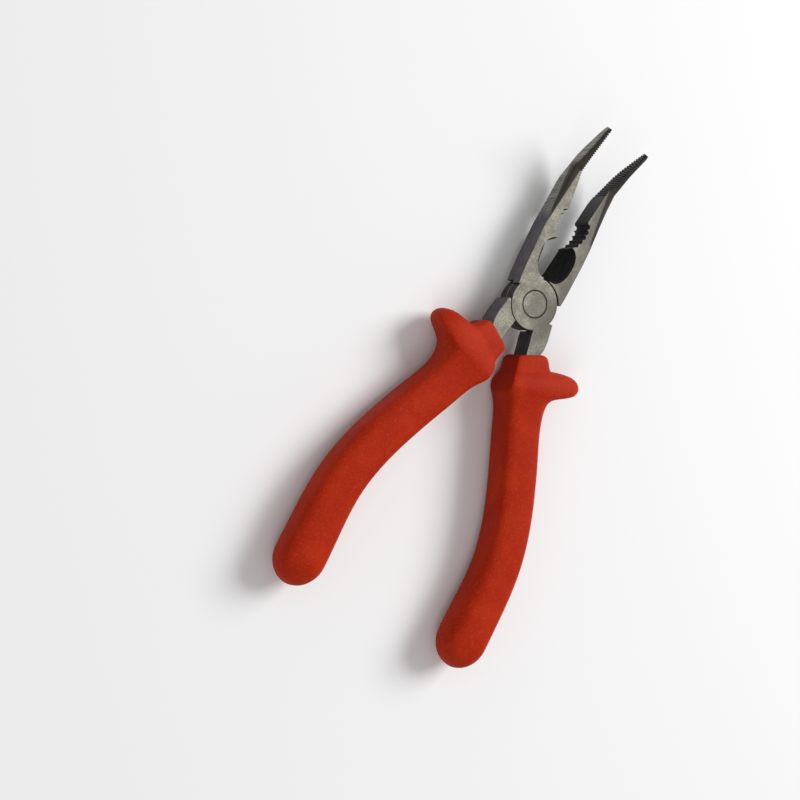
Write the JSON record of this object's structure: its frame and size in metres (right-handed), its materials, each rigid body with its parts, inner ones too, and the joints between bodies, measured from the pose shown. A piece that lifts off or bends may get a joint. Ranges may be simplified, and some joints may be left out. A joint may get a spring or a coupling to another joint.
{
  "type": "bent nose pliers",
  "caption": "Bent long-nose pliers with toothed jaws, side cutter recess, riveted lap joint and moulded orange grips with finger guards.",
  "frame": {"origin": "on the pivot axis, at the rear ground face of the head", "axes": "+Z along the pivot axis, out of the front face that the tips bend towards; +Y from the pivot to the tips; +X to the side of the moving jaw"},
  "size_m": [0.0909, 0.2005, 0.0244],
  "materials": {
    "steel": "satin ground faces with dark oxide sides",
    "rivet": "ground flush",
    "grip": "matte, fine grain"
  },
  "bodies": {
    "front_half": {"half_front_hub": "steel", "rivet": "rivet", "grip_front_hub_half": "grip"},
    "rear_half": {"half_rear_hub": "steel", "grip_rear_hub_half": "grip"}
  },
  "joints": [
    {"name": "pivot", "type": "hinge", "parent": "front_half", "child": "rear_half", "pos_m": [0, 0, 0.0047], "axis": [0, 0, -1], "range_deg": [-14.3, 34]}
  ]
}
